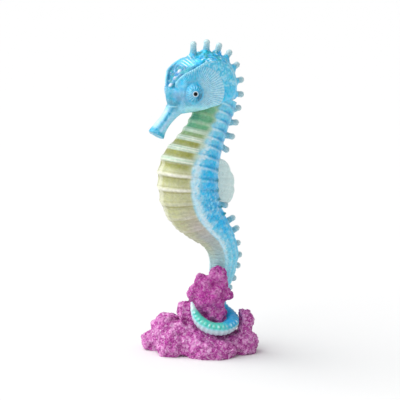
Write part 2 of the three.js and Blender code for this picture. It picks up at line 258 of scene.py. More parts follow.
# %% The body's path: ring number, x, z, half depth, tilt in degrees
body_rings = np.array([
    [1, 8.1, 93.5, 7.6, 21], [2, 6.6, 90.2, 7.9, 21], [4, 3.4, 83.1, 7.9, 17],
    [6, -1.0, 76.3, 9.6, 15.5], [7, -3.4, 73.0, 10.7, 13.5], [8, -4.8, 69.4, 11.3, 10.5],
    [9, -5.4, 65.0, 11.6, 6.5], [10, -5.1, 60.5, 11.5, 1], [11, -4.1, 56.2, 11.1, -5.5],
    [12, -2.0, 52.0, 10.3, -14], [13, 1.2, 48.4, 9.0, -21], [14, 4.1, 45.5, 7.7, -24.5],
    [15, 6.4, 43.3, 6.8, -23.5], [17, 9.0, 39.3, 6.0, -17], [19, 10.2, 35.3, 5.7, -9],
    [21, 10.0, 31.2, 5.3, -1.5], [23, 9.0, 27.3, 4.9, 6]])

# The curl round the rock: ring number, along the rock, across it, height, radius.
curl_rings = np.array([
    [25, 6.1, 4.4, 23.2, 4.2], [27, 5.7, 5.0, 19.0, 3.7], [29, 7.0, 5.2, 15.4, 3.3],
    [31.6, 10.3, 3.3, 13.0, 3.0], [34, 11.5, 0, 11.9, 2.75], [36.5, 10.8, -3.6, 11.2, 2.7],
    [39.5, 8.0, -6.6, 10.6, 2.65], [42.5, 3.7, -7.6, 11.2, 2.6], [45.5, 0, -6.8, 13.4, 2.4],
    [48, -1.9, -5.6, 16.2, 1.7], [51, -3.1, -4.6, 20.3, 0.5]])
print(len(body_rings), "rings in the body's table and", len(curl_rings), "in the curl's")

# %% The whole path, with its directions
ROCK_TURN = np.radians(34)
BODY_WIDTH, CURL_WIDTH = 0.76, 0.92         # width over depth


def on_rock(along, across, height):
    """A point given along and across the rock: the rock is turned by 34 degrees."""
    return np.stack([along * np.cos(ROCK_TURN) + across * np.sin(ROCK_TURN),
                     across * np.cos(ROCK_TURN) - along * np.sin(ROCK_TURN), height], -1)


def in_plane(x, z):
    """Points in the plane of symmetry."""
    return np.stack([x, 0 * x, z], -1)


def unit(vectors):
    """Each vector over its own length."""
    return vectors / np.linalg.norm(vectors, axis=-1, keepdims=True)


stations = np.concatenate([body_rings[:, 0], curl_rings[:, 0]])
path = np.concatenate([in_plane(*body_rings[:, 1:3].T), on_rock(*curl_rings[:, 1:4].T)])
depths = np.concatenate([body_rings[:, 3], curl_rings[:, 4]])
widths = np.concatenate([body_rings[:, 3] * BODY_WIDTH, curl_rings[:, 4] * CURL_WIDTH])
tilts = np.radians(body_rings[:, 4])
backs = in_plane(np.cos(tilts), -np.sin(tilts))
sides = np.tile([0.0, 1.0, 0.0], (len(backs), 1))
headings = unit(np.gradient(path, stations, axis=0))
for heading in headings[len(backs):]:       # carry the back on round the curl
    backs = np.vstack([backs, unit(backs[-1] - heading * (backs[-1] @ heading))])
    sides = np.vstack([sides, np.cross(backs[-1], heading)])
print(len(stations), "stations from the head to the tip of the tail")

# %% [markdown]
# ### Rows and columns
#
# The rings of the trunk carry the finest detail, so they get more rows than those of the
# tail. A column stands at an angle from the back: 0 is the back and 180 the belly keel.

# %% The bare body on a grid
ring_rows = np.concatenate([np.arange(1, 14, 1 / 20), np.arange(14, 22, 1 / 14),
                            np.arange(22, 50.99, 1 / 7)])
turns = np.linspace(0, 2 * np.pi, 168, endpoint=False)
middle, depth, width, back, side = (flow(ring_rows, stations, table)[:, None]
                                    for table in (path, depths, widths, backs, sides))
back, side = unit(back), unit(side)
angle = np.degrees(np.pi - np.abs(np.pi - turns))[None] + 0 * ring_rows[:, None]
ring = ring_rows[:, None] + 0 * angle
cosine, sine = np.cos(turns)[:, None], np.sin(turns)[:, None]
spoke = back * cosine * depth[..., None] + side * sine * width[..., None]
outward = unit(back * (cosine / depth[..., None]) + side * (sine / width[..., None]))
print("bare body:", spoke.shape[0], "rows of", spoke.shape[1])

# %% [markdown]
# ### Where the ring lines run
#
# A second numbering follows the ring lines themselves. They are closer together in the
# neck, and near the back each line droops a little, so that it climbs over the flank.

# %% Ring lines: at which row each line lies
line_rows = np.array([[0.5, 0], [1.4, 1], [2.25, 2], [3.1, 3], [3.95, 4], [4.8, 5], [5.6, 6],
                      [6.6, 7], [7.65, 8], [8.7, 9], [9.7, 10], [10.7, 11], [11.7, 12],
                      [12.8, 13], [14, 14], [52, 52]])
droop = 0.28 * falling(angle, 30, 75) * falling(ring, 11, 14)
line = np.interp(ring - droop, *line_rows.T)
row_length = np.linalg.norm(np.gradient(middle[:, 0], axis=0), axis=-1)
line_length = (row_length / np.gradient(line[:, len(turns) // 2]))[:, None]


def off_line(shift=0.0):
    """Millimetres from the nearest ring line, less than 0 above it. A shift moves the
    lines up by that share of the way to the next."""
    return (line + shift - np.round(line + shift)) * line_length


off_ring = off_line()
print("ring lines", line_length[:200:40, 0].round(1), "mm apart")

# %% [markdown]
# ### Bands, cords, ridges and knobs
#
# On the belly each ring is a swelling with a valley under it. In the neck the swellings are
# broad and finely striped, and on the trunk they end in a raised pearly cord. On the flank
# the same line is a groove that widens towards the back. Three ridges run down each side,
# and lower down the ring lines swell into knobs where they cross them. The flank of the
# lower trunk is pebbly. Where the tail curls, beads follow its upper edge.

# %% Where each part of the body's relief lies
trunk = falling(ring, 12.5, 14.5)
neck = falling(line, 7.0, 8.6)
belly = rising(angle, 102 - 4 * neck, 116 + 2 * neck) * falling(ring, 30, 33)
heading = unit(np.gradient(middle[:, 0], axis=0))
lift = np.array([0, 0, 1]) - heading * heading[:, 2:]     # straight up, made square to it
lift /= np.maximum(np.linalg.norm(lift, axis=-1, keepdims=True), 0.3)
upness = np.einsum("rck,rk->rc", outward, lift)
curl = rising(ring, 29, 32)
wobble = 1 + 0.3 * np.sin(line * 7.1 + angle / 17) * np.sin(angle / 11 + ring * 2)

off_cord = off_line(0.16 * neck)
cord_width = 0.45 + 0.5 * neck
cord = bell(off_cord, 0, cord_width) * belly * trunk * rising(line, 2.6, 3.8) \
    * falling(line, 10.35, 10.8, 0.2)
stripes = np.sin(2 * np.pi * off_cord / 0.8) * bell(off_cord, 0, 1.1) * belly * trunk
cord_edge = (bell(off_cord, cord_width + 0.35, 0.25)
             + 0.5 * bell(off_cord, -cord_width - 0.4, 0.2)) * belly * trunk
swelling = np.cos(2 * np.pi * (line - 0.93)) * trunk * falling(line, 10.6, 12, 0.4)
to_back = falling(angle, 62, 106)
groove = bell(off_ring, 0, 0.22 + 0.3 * to_back) * (1 - belly) * trunk \
    * (0.25 + 0.75 * to_back) * falling(line, 10.3, 11.5, 0.45)
band = np.abs(np.sin(np.pi * ring)) ** 0.6 - 0.6        # one swelling for each tail ring
keel = bell(angle, 180, 5) * (1 - curl)
lobes = (np.abs(np.sin(np.pi * ring)) ** 0.7 - 0.3) * rising(angle, 163, 175) \
    * window(ring, 6, 8, 12, 13.5)
KNOB_ANGLES = (33, 57, 82, 104)             # the first three are the ridges
ridges = sum(bell(angle, at, 4.5) for at in KNOB_ANGLES[:3]) * rising(ring, 3, 7) * (1 - curl)
nodules = bell(angle, 99, 4) * bell(off_ring, 0, 0.5) * rising(line, 8.6, 10) * trunk
back_beads = bell(angle, 37, 9) * bell(off_ring, 0, 0.75) * rising(line, 7, 8.5) * trunk
knobs = sum(bell(angle, at, 6) for at in KNOB_ANGLES) * bell(off_ring, 0, 0.8) \
    * window(ring, 10, 12, 22, 26)
wrinkles = np.sin(2 * np.pi * 3 * line + angle / 30 + 1.5 * np.sin(angle / 9)) * belly \
    * (bell(ring, 12, 1.7) + 0.6 * rising(ring, 13, 15) * (1 - curl))
upper_edge = bell(upness, 0.55, 0.19) * curl
beads = upper_edge * (0.5 + 0.5 * np.cos(2 * np.pi * ring)) ** 1.5 * wobble ** 2 \
    * (0.75 + 0.25 * np.sin(ring * 3.7))
ribs = curl * falling(upness, 0.2, 0.6) * np.cos(2 * np.pi * ring)
print("knobs at", KNOB_ANGLES, "degrees from the back")

# %% Relief of the body, in millimetres
relief = 0.26 * cord * wobble - 0.16 * cord_edge + 0.05 * stripes * neck
relief += swelling * (0.26 * belly * (1 - 0.6 * neck) + 0.06 * (1 - belly))
relief += 0.35 * lobes - 0.28 * groove + 0.1 * ridges
relief += 0.3 * falling(angle, 60, 85) * bell(ring, 9, 2)
front_lobes = 0.3 * rising(angle, 125, 150) * bell(ring, 14.3, 2.3)
relief += (0.3 - 0.18 * belly + front_lobes) * band * wobble * (1 - trunk) * (1 - curl)
relief += 0.5 * nodules * wobble + 0.55 * back_beads
relief += 0.5 * knobs * wobble + 0.11 * wrinkles + 0.3 * keel + 0.42 * beads + 0.13 * ribs
relief *= np.clip(depth / 3.0, 0.2, 1)
body = middle + spoke + outward * (relief - 0.12)[..., None]
pebbly = bell(ring, 11.3, 1.9) * window(angle, 25, 40, 84, 96)
pebble, pebble_tone = (noise.reshape(ring.shape)
                       for noise in cell_noise(body.reshape(-1, 3), size=1.1, seed=5))
body = body - outward * (0.28 * pebbly * pebble)[..., None]
print("relief from", relief.min().round(2), "to", relief.max().round(2), "mm")

# %% [markdown]
# ### Where the spines stand
#
# A row of blunt spines runs down the back. Each has a small swelling of skin at its foot,
# so the body is pushed out along the spine wherever its surface passes close to its axis.

# %% Spines: x and z of the tip, then of a point inside the body
spines = np.array([
    [-2.8, 114.0, -2.9, 105.5], [3.0, 114.4, 2.3, 106.0], [8.6, 112.9, 6.0, 105.0],
    [13.4, 110.0, 8.0, 103.2], [17.0, 105.1, 9.6, 101.0], [19.0, 99.2, 10.5, 97.8],
    [19.0, 93.6, 9.5, 94.6],
    [17.9, 89.1, 10.0, 87.6], [16.8, 83.5, 9.0, 84.2], [15.1, 78.3, 7.2, 80.4],
    [12.5, 73.4, 6.0, 77.2], [12.2, 53.4, 6.0, 54.8],
    [15.4, 49.0, 7.5, 46.0], [17.2, 45.0, 9.5, 42.0], [17.8, 39.2, 11.0, 38.2],
    [18.5, 34.6, 11.0, 34.6], [17.8, 30.5, 10.5, 31.2], [16.0, 26.0, 9.5, 26.4],
    [14.2, 22.6, 8.0, 23.6]])
tips, roots = in_plane(*spines[:, :2].T), in_plane(*spines[:, 2:].T)
HEAD_SPINES = 7


def spine_feet(points, tip, root, height, radius):
    """Push for each point: height along the spine times a bell of its distance from the
    spine's axis, only on the half of the body that the spine leaves by."""
    way = unit(tip - root)
    along = (points - root) @ way
    away = apart(points - root, along[..., None] * way)
    return (height * bell(away, 0, radius) * rising(along, 0, 2))[..., None] * way


for tip, root in zip(tips[HEAD_SPINES:], roots[HEAD_SPINES:]):
    body = body + spine_feet(body, tip, root, height=0.9, radius=1.15)
print(len(spines), "spines,", HEAD_SPINES, "of them on the head")

# %% [markdown]
# ### What was painted where
#
# The paint follows the form, so the masks come from the same ring numbers and angles. They
# are kept on the mesh by name, and the paint below reads them.

# %% Masks of the body, and the piece
uneven = angle + (2.5 * np.cos(2 * np.pi * (line - 0.35)) + 2 * np.sin(line * 4.3)) * neck
belly_tone = rising(uneven, 108 - 10 * neck, 113 + 5 * neck) * falling(ring, 23, 27)
share = line - np.floor(line)               # 0 on a ring line, 1 just above the next
pale_neck = falling(line, 8.0, 8.9)
valley = window(share, 0.08, 0.22, 0.42, 0.85) * rising(angle, 108, 122) * trunk
body_masks = {
    "deep": falling(angle, 74 - 4 * trunk, 98 + 8 * trunk) * rising(ring, 3, 9)
            * falling(ring, 13, 16, 0.5) * falling(ring, 19, 24),
    # painted highlight: a light band down the flank, and a light strip just above each ring line
    # of the neck
    "shine": bell(angle + 12 * (pebble_tone - 0.5), 103 - 5 * neck, 8) * rising(ring, 2, 7)
             * falling(ring, 16, 21, 0.3) * falling(ring, 22, 26) * (0.7 + 0.5 * pebble_tone)
             + 0.6 * bell(share, 0.27, 0.12) * falling(ring, 8, 10),
    "straw": belly_tone * falling(ring, 12.5, 15),
    "ash": belly_tone * rising(ring, 10.8, 14.5),
    "rose": belly_tone * bell(ring, 12.6, 1.4) * bell(angle, 122, 18),
    "warm": belly_tone * rising(angle, 132, 160) * bell(ring, 15.5, 4.5),
    # painted shade: darker grey in the troughs of the belly's wrinkles
    "crease": rising(-wrinkles, 0.1, 0.6) * (0.4 + 0.6 * pebble_tone),
    "moss": belly_tone * held(0.75 * falling(line, 3.4, 5.2)
                              + valley * falling(line, 4.8, 6.6)),
    "olive": valley * rising(line, 4.4, 6.4)
             * (1 - 0.45 * rising(line, 8, 9.1) - 0.35 * rising(line, 9.1, 10.2)),
    "sage": belly_tone * pale_neck * (1 - valley) * rising(line, 2.5, 4.5),
    # the raised cords and the neck's stripes in white: part pearly paint, part painted highlight
    "cord": cord * wobble * (1 - pale_neck)
            + held(1.25 * stripes * wobble) ** 2 * pale_neck * rising(line, 4, 6),
    "keel": rising(angle, 171, 176) * window(ring, 7, 8.5, 12, 14),
    # painted shade: a dark line in the notch under each cord
    "cord_edge": cord_edge * rising(line, 6.6, 8) * falling(line, 11, 12.5, 0.4),
    "groove": bell(off_ring, 0.3 * to_back, 0.24 + 0.75 * to_back ** 2) * (1 - belly) * trunk
              * (0.3 + 0.7 * to_back) * rising(ring, 0.5, 2) * falling(line, 10.3, 11.5, 0.4),
    # painted highlight on the tops of some pebbles
    "pebble_highlight": pebbly * (pebble_tone > 0.55) * held(1.5 - 2 * pebble),
    # painted shade in the gaps between the pebbles
    "pebble": pebbly * held(2 * pebble - 0.6),
    "aqua": rising(ring, 14.5, 21),
    "teal": curl * rising(upness, -0.2, 0.35),
    "bend": window(ring, 27, 31, 37, 41) * rising(upness, -0.1, 0.4),
    # painted highlight: white on the beads of the curl, the knobs and the nodules
    "bead_highlight": 0.9 * beads + 0.5 * knobs + 1.3 * nodules,
    "back_bead": 1.3 * back_beads,
    "pearl_grey": curl * falling(upness, -0.35, 0.3),
    "tip": rising(ring, 47.5, 50)}
body_points, body_faces = closed_grid(body)
body_masks = {name: np.append(mask.ravel(), [mask[0, 0], mask[-1, 0]])
              for name, mask in body_masks.items()}
body_skin = piece_of(
    "body_skin", body_points, body_faces,
    ["neck", "trunk_upper", "trunk_lower", "tail_upper", "tail_middle", "tail_coil",
     "tail_tip"], body_masks)

# %% [markdown]
# ## The head
#
# Seen from the side the head is a coin: a crest in the plane of symmetry, and on each side
# a cheek whose rim stands up as a thin frill. A table of angles about the middle of the
# head gives the radius of the crest and of the rim. The snout is a round tube that flares
# at the mouth, and each eye sits on a low cone. These closed skins are melted into one,
# because on the real casting they run into each other without a line.

# %% The head's outline: angle, radius of the crest, radius of the rim, its distance out
HEAD = np.array([-0.5, 98.0])
head_outline = np.array([
    [0, 15.9, 11.9, 6.2], [12, 15.7, 11.5, 6.3], [27, 15.3, 11.2, 6.4],
    [44, 14.4, 10.8, 6.7], [64, 13.2, 9.8, 7.3], [84, 12.3, 9.2, 7.9],
    [103, 11.4, 9.2, 8.1], [120, 10.9, 9.1, 7.9], [134, 10.6, 9.4, 7.5],
    [145, 10.5, 10.1, 6.7], [153, 10.6, 10.8, 5.6], [160, 10.9, 11.3, 4.6],
    [167, 11.5, 11.7, 3.8], [174, 12.4, 11.8, 3.2], [182, 13.4, 11.8, 3.4],
    [190, 14.0, 11.5, 4.2], [202, 14.3, 10.6, 5.0], [220, 14.0, 9.6, 5.6],
    [241, 10.8, 8.8, 5.9], [256, 9.4, 8.2, 6.0], [279, 8.5, 7.4, 6.2],
    [303, 9.0, 8.0, 6.3], [319, 10.0, 8.8, 6.3], [338, 15.5, 11.2, 6.2]])
outline_rows = np.concatenate([head_outline[-2:] - [360, 0, 0, 0], head_outline,
                               head_outline[:2] + [360, 0, 0, 0]])
CHEEK = 8.0                                  # distance of a cheek from the middle plane


def head_radii(degrees):
    """Crest radius, rim radius and rim distance at any angle about the head's middle."""
    return flow(degrees % 360, outline_rows[:, 0], outline_rows[:, 1:]).T


def about_head(degrees, radius, out):
    """Points at an angle and a radius about the head's middle, and so far to one side."""
    return np.stack([HEAD[0] + radius * np.cos(np.radians(degrees)), out,
                     HEAD[1] + radius * np.sin(np.radians(degrees))], -1)

# %% The head's own skin
def head_lens():
    """Rows run from one cheek to the other. On a cheek the radius is a share s of the rim,
    and the distance out goes from the cheek's to the rim's with s to the power of 4.
    Between the rims the radius goes from crest to rim with the share of the distance out,
    to the power of 1.6."""
    share = np.linspace(0.03, 1, 30)
    between = np.linspace(-1, 1, 64)[1:-1]
    on_cheek = np.concatenate([share, 0 * between + 1, share[::-1]])[:, None]
    across = np.concatenate([0 * share + 1, -between, 0 * share - 1])[:, None]
    degrees = np.linspace(0, 360, 240, endpoint=False)
    crest, rim, out = head_radii(degrees)
    return about_head(degrees, (crest + (rim - crest) * np.abs(across) ** 1.6) * on_cheek,
                      (CHEEK + (out - CHEEK) * on_cheek ** 4) * across)

# %% Tubes and turned forms
def rings_on(centres, first, second, radii, columns):
    """A ring about each centre: first times the cosine and second times the sine of an
    angle that goes once round, times the ring's radius."""
    around = np.linspace(0, 2 * np.pi, columns, endpoint=False)[:, None]
    rings = np.expand_dims(first, -2) * np.cos(around) \
        + np.expand_dims(second, -2) * np.sin(around)
    return centres[:, None] + rings * np.reshape(radii, (-1, 1, 1))


def round_tube(line, radii):
    """Rings square to a line in the plane of symmetry."""
    ahead = unit(np.gradient(line, axis=0))
    return rings_on(line, in_plane(ahead[:, 2], -ahead[:, 0]), [0, 1, 0], radii, 64)


def turned(middle, way, along, radii, columns=48):
    """A profile of distances along an axis and radii, turned round the axis. The rings
    start square to the axis and to a direction that no axis here follows."""
    way = unit(way)
    first = unit(np.cross(way, [0.31, 0.9, 0.2]))
    return rings_on(middle + along[:, None] * way, first, np.cross(way, first), radii, columns)

# %% The snout
snout_line = np.array([[-7.6, 93.8, 4.5], [-9.2, 92.2, 3.75], [-12.0, 89.4, 2.8],
                       [-13.6, 87.7, 2.45], [-15.1, 86.1, 2.35], [-17.3, 83.7, 2.7],
                       [-18.7, 81.6, 3.2]])
steps = np.linspace(0, 6, 70)
snout = flow(steps, np.arange(7), snout_line)
snout_path = in_plane(snout[:, 0], snout[:, 1])
snout_root, mouth = snout_path[12], snout_path[-1]      # where it leaves the head, its end
into_mouth = unit(snout_path[-2] - mouth)
outer = round_tube(snout_path, snout[:, 2] * falling(steps, 5.8, 6, 0.95))
snout_rings = np.concatenate([outer, round_tube(
    mouth + into_mouth * np.array([[-0.1], [0.05], [0.5], [1.1], [1.4]]),
    np.array([2.75, 2.3, 1.7, 1.2, 0.2]))])
print("the snout runs from", snout_root.round(1), "to", mouth.round(1))

# %% The eye cones
EYE_FOOT = np.array([-7.2, 7.2, 96.4])      # middle of an eye cone's foot
EYE_LEAN = np.radians(25)                   # the cones lean forward


def eye_way(hand):
    """The way an eye looks: out to one side, and 25 degrees forward."""
    return np.array([-np.sin(EYE_LEAN), hand * np.cos(EYE_LEAN), 0])


NARROW = 0.88                               # a cone's width over its height, seen end on
cone_radii = 3.3 * np.array([1.3, 1.1, 1.0, 0.94, 0.88, 0.81, 0.71, 0.57, 0.4, 0.2])
cone_heights = 2.6 * np.array([-0.4, 0, 0.15, 0.3, 0.45, 0.62, 0.78, 0.9, 0.97, 0.99])


def eye_cone(hand):
    """Rings of the profile about the eye's axis, narrowed from front to back."""
    across = NARROW * np.array([np.cos(EYE_LEAN), hand * np.sin(EYE_LEAN), 0])
    return rings_on(EYE_FOOT * [1, hand, 1] + cone_heights[:, None] * eye_way(hand),
                    across, [0, 0, 1], cone_radii, 60)


cones = [eye_cone(hand) for hand in (-1, 1)]
print("an eye cone stands", cone_heights.max().round(1), "mm high")

# %% The feet of the head's spines, and the melting
feet = []
for root, way in zip(roots[:HEAD_SPINES], unit(tips - roots)):
    reach = np.linspace(0, 12, 80)
    places = root + reach[:, None] * way - [HEAD[0], 0, HEAD[1]]
    crest_there = head_radii(np.degrees(np.arctan2(places[:, 2], places[:, 0])))[0]
    leaves = reach[np.argmax(np.hypot(places[:, 0], places[:, 2]) > crest_there)]
    rise = np.array([-2.5, -0.6, 0, 0.5, 1.0, 1.6, 2.2, 2.5])
    feet.append(turned(root + leaves * way, way, rise,
                       np.array([2.6, 2.2, 1.8, 1.4, 1.15, 1.0, 0.9, 0.4]), 24))
head_points, head_faces, head_out = melted(
    [closed_grid(grid) for grid in [head_lens(), snout_rings, *cones, *feet]],
    square=0.175, softening=8)
print("melted head:", len(head_points), "points")

# %% [markdown]
# ### Fine relief of the head
#
# The frill, the eye's moat and ridges, the ladder of the forehead and the knobs of the
# crown are worked out for the melted skin from where each point lies: its angle and radius
# about the middle of the head, and about the eye.

# %% Where each point of the head lies
def folded(points):
    """The points with every y made positive, so that one rule serves both sides."""
    return np.where([False, True, False], np.abs(points), points)


x, y, z = head_points.T
height = np.abs(y)
theta = np.degrees(np.arctan2(z - HEAD[1], x - HEAD[0])) % 360
out = head_radii(theta)[2]

from_foot = folded(head_points) - EYE_FOOT
backward = from_foot @ [np.cos(EYE_LEAN), np.sin(EYE_LEAN), 0]
up_cone = from_foot @ eye_way(1)
from_eye = np.hypot(backward / NARROW, from_foot[:, 2])
eye_turn = np.arctan2(from_foot[:, 2], backward)         # 0 towards the back of the head

snout_way = unit(mouth - snout_root)
from_root = in_plane(x, z) - snout_root
down_snout = from_root @ snout_way
over_snout = from_root @ [snout_way[2], 0, -snout_way[0]] - 0.25
snout_turn = np.degrees(np.arctan2(height, over_snout))  # 0 on top of it, 180 under it
on_snout = rising(down_snout, 0.3, 2.2) * rising(-x, 8, 9.5) * falling(z, 92.5, 95)

frill_turns = np.linspace(62, 179, 90)
frill_line = about_head(frill_turns, *head_radii(frill_turns)[1:])
to_frill = np.min([apart(folded(head_points), place) for place in frill_line], axis=0)
print("head points up to", to_frill.max().round(1), "mm from a frill")

# %% Where each part of the head's relief lies
within = window(theta, 20, 60, 176, 182)
crown = held((out - height) / 0.8) * within             # the band between the two frills
brow = crown * rising(theta, 126, 140)
frill = bell(to_frill, 0, 0.42) * window(theta, 70, 92, 174, 180)
under_frill = bell(to_frill, 1.15, 0.45) * crown * rising(theta, 80, 100)
brow_edge = bell(to_frill, 3.1, 0.28) * brow
cheek = (1 - held((out - height) / 0.5) * within) * (1 - on_snout) * rising(height, 1.5, 3.5)
near_cone = rising(up_cone, -1.5, -0.8)
fan_reach = np.hypot(backward, from_foot[:, 2]) - 9.2 - 2.2 * held(np.cos(eye_turn))
past_fan = rising(fan_reach, -0.3, 0.3)
moat = bell(from_eye, 3.6, 0.3) * near_cone
cone = falling(from_eye, 3.0, 3.6) * near_cone
ridged = cone * rising(from_eye, 1.2, 1.7)
fan = cheek * rising(from_eye, 3.4, 4.3) * (1 - past_fan) \
    * rising(z, 90.8, 92.4) * falling(-x, 9.5, 11.5)
net = cheek * past_fan * rising(z, 90.5, 93) * falling(theta, 118, 135)
pebble, pebble_tone = cell_noise(head_points, size=1.35, seed=4)
forehead = bell(theta, 123, 13) * crown * bell(y, -0.7, 3.4)
ladder = np.sin(np.radians(theta) * 62 + y * 1.3) * (0.5 + pebble_tone) * forehead
eye_ridges = np.cos(17 * eye_turn + 6 * pebble_tone)
gaps = held(1.8 * pebble - 0.7) * crown * falling(theta, 118, 132)
cells = (0.45 - pebble) * (0.5 + pebble_tone) * falling(theta, 100, 116) * crown
knob_places = np.array([                     # angle, radius, distance to one side, size
    [147, 10.5, -0.6, 0.9], [162, 11.0, -0.6, 0.7], [175, 12.5, -0.6, 0.8],
    [141, 10.8, 1.5, 0.5], [155, 10.9, 1.8, 0.45], [169, 11.8, 1.5, 0.45],
    [141, 10.8, -2.7, 0.5], [155, 10.9, -3.0, 0.45], [169, 11.8, -2.7, 0.45]])
brow_knobs = [bell(apart(head_points, about_head(degrees, radius, aside)), 0, size)
              for degrees, radius, aside, size in knob_places]
snout_ribs = on_snout * (bell(snout_turn, 5, 27)
                         + 0.7 * bell(snout_turn, 78, 9) * rising(down_snout, 3, 6))
crease = bell(z, 91.5, 0.25) * rising(-x, 11, 12.2) * rising(height, 0.4, 1.6)
print(len(brow_knobs), "knobs on the brow")

# %% Relief of the head, in millimetres
head_relief = 0.6 * frill - 0.45 * under_frill - 0.12 * moat + 0.08 * brow_edge
head_relief += 0.08 * ridged * eye_ridges + 0.18 * ladder + 0.8 * cells
head_relief += 0.45 * (0.45 - pebble) * brow * (1 - bell(theta, 121, 11))
head_relief = (head_relief + 0.2 * fan + 0.6 * sum(brow_knobs)) * (1 - on_snout)
head_relief += 0.1 * snout_ribs + 0.15 * crease
head_points = head_points + head_out * (head_relief - 0.1)[:, None]
print("relief from", head_relief.min().round(2), "to", head_relief.max().round(2), "mm")

# %% Masks of the head, and the piece
shaded_side = 0.5 + 0.5 * np.cos(eye_turn + 0.6)         # 1 at the lower back of an eye
to_mouth = apart(mouth, snout_root) - down_snout
patch_tone = cell_noise(head_points * [1, 1, 0.6], size=1.7, seed=9)[1]
patches = rising(patch_tone, 0.5, 0.8)
top = crown * (1 - cheek) * falling(theta, 100, 120)
head_masks = {
    "cheek": cheek,
    # painted light: the fan behind the eye made lighter, for the light it catches
    "fan_back_lit": fan * rising(np.cos(eye_turn), 0, 0.9),
    "jaw": cheek * falling(z, 90.0, 93.5),
    "lilac": cheek * bell(x, -11.5, 2.6) * bell(z, 95.0, 3.6),
    "crown": crown * (1 - cheek) * rising(theta, 45, 75),
    "brow": brow,
    # painted shade: darker in the eye's moat on its lower back side, in the trough beside each
    # frill, and in the gaps of the crown and the brow
    "recess_shade": 0.4 * moat * shaded_side ** 2 + under_frill + gaps
              + brow * held(2 * pebble - 0.9),
    "snout_deep": on_snout * bell(snout_turn, 52, 17) * (0.7 + 0.3 * patches),
    # painted shade where the snout meets the face
    "root_shade": rising(-x, 10.2, 12) * bell(z, 91.9, 2.0) * rising(height, 0.3, 1.5)
                 * (0.65 + 0.35 * patches) * (1 - 0.7 * crease),
    # painted highlight: a light line along the ridge of the crease at the snout's root
    "crease": crease,
    "front": rising(-x, 12.3, 13.6) * rising(z, 90.5, 92.5) * (1 - crown),
    # painted highlight: a light line along each frill's rim and along the edge of the brow
    "frill": held(frill + 0.8 * brow_edge) * (1 - 0.3 * brow),
    # the cone's blue, laid on more thickly on its lower back side as painted shade
    "cone": cone * (0.5 + 0.5 * shaded_side),
    # painted shade: deepest on the cone's lower back side
    "cone_shade": cone * held(1.4 * bell(eye_turn, -0.65, 0.65)) * rising(from_eye, 1.1, 1.6),
    # painted highlight on the cone's front and lower front
    "cone_highlight": cone * bell(eye_turn, -2.0, 0.7) * (0.5 + 0.5 * eye_ridges)
                  + 0.3 * cone * rising(-backward, 0.2, 1.6) * (z > EYE_FOOT[2] - 1.5),
    "fan": fan,
    "net": net,
    "rosette": ridged * (1 - bell(eye_turn, -0.65, 0.9)),
    "glint": held(3 * cells) ** 2 * (pebble_tone > 0.42)
             + 0.8 * brow * held(1.4 - 3 * pebble) * (pebble_tone > 0.7)
             + 0.9 * held(1.8 * ladder - 0.25),
    "forehead": forehead * (1 - held(-1.5 * ladder)),
    # painted shade: darker beside each frill and on the sides of the brow
    "under": crown * window(to_frill, 0.35, 0.7, 2.3, 2.9) * rising(theta, 112, 132)
             + 0.9 * brow * rising(height, 0.7, 2.0) * (1 - frill) * (1 - 0.7 * brow_edge),
    "blue": top * (patch_tone > 0.6),
    "teal": top * (patch_tone < 0.3) + brow * (pebble_tone < 0.3),
    # painted highlight: lavender white on the knobs of the brow
    "knob_highlight": held(1.6 * sum(brow_knobs[:3]) - 0.2) + 0.35 * sum(brow_knobs[3:]),
    "snout": on_snout,
    # painted reflection: light streaks along the snout's ribs
    "snout_reflection": snout_ribs * falling(z, 89.5, 91.5) * (1 - 0.5 * patches),
    "mouth": on_snout * falling(to_mouth, 0.6, 2.2) * (0.25 + 0.75 * (patch_tone > 0.5))}
head_skin = piece_of("head_skin", head_points, head_faces,
                     ["head", "snout", "cheek_left", "cheek_right"], head_masks)

# %% [markdown]
# ## Eyes
#
# The eye is printed on top of its cone: a black pupil with a fine white ring. Each is a low
# dome of its own, so that it can shine more than the skin.

# %% The two eyes
dome = np.linspace(1.0, 0.02, 14) * np.pi / 2
eyes = [closed_grid(turned(EYE_FOOT * [1, hand, 1], eye_way(hand),
                           np.insert(2.36 + 0.34 * np.cos(dome), 0, 2.0),
                           np.insert(1.25 * np.sin(dome), 0, 1.2)))
        for hand in (-1, 1)]
eye_points, eye_faces = laid_together(eyes)
from_foot = folded(eye_points) - EYE_FOOT
from_middle = apart(from_foot, (from_foot @ eye_way(1))[:, None] * eye_way(1))
eye_piece = piece_of("eyes", eye_points, eye_faces, ["eye_left", "eye_right"],
                     {"pupil": falling(from_middle, 0.66, 0.8),
                      "ring": falling(from_middle, 0.97, 1.1)})

# %% [markdown]
# ## Spines
#
# Each spine is a short rod of milky plastic with a slightly thicker, rounded end. A bevelled
# cylinder would come close. One profile of distances and radii, turned round each axis,
# gives the swelling of the end as well.

# %% The spines
spine_skins = []
for tip, root in zip(tips, roots):
    length = np.linalg.norm(tip - root)
    turn = np.linspace(0, np.pi / 2, 9)
    end = 1.16                                   # radius of the rounded end
    along = np.concatenate([[0], length - np.array([5, 4.2, 3.4, 2.7, 2, 1.4]),
                            length - end + end * np.sin(turn)])
    radii = np.concatenate([[1.4, 1.4, 1.3, 1.2, 1.12, 1.1, 1.13], end * np.cos(turn) + 0.005])
    spine_skins.append(closed_grid(turned(root, tip - root, along, radii, 28)))
spine_points, spine_faces = laid_together(spine_skins)
to_tip = np.min([apart(spine_points, tip) for tip in tips], axis=0)
on_head = rising(spine_points[:, 2], 60, 90)
spine_piece = piece_of("spines", spine_points, spine_faces, (),
                       {"root": rising(to_tip, 1.1, 3.0 + 1.2 * on_head)})

# %% [markdown]
# ## Back fin
#
# The fin is a thin plate with four scallops along its edge, each held out by rays. A flat
# outline with a Solidify modifier would be as thick at the edge as at the root, so its grid
# runs along the root and round the plate: out on one face and back on the other.

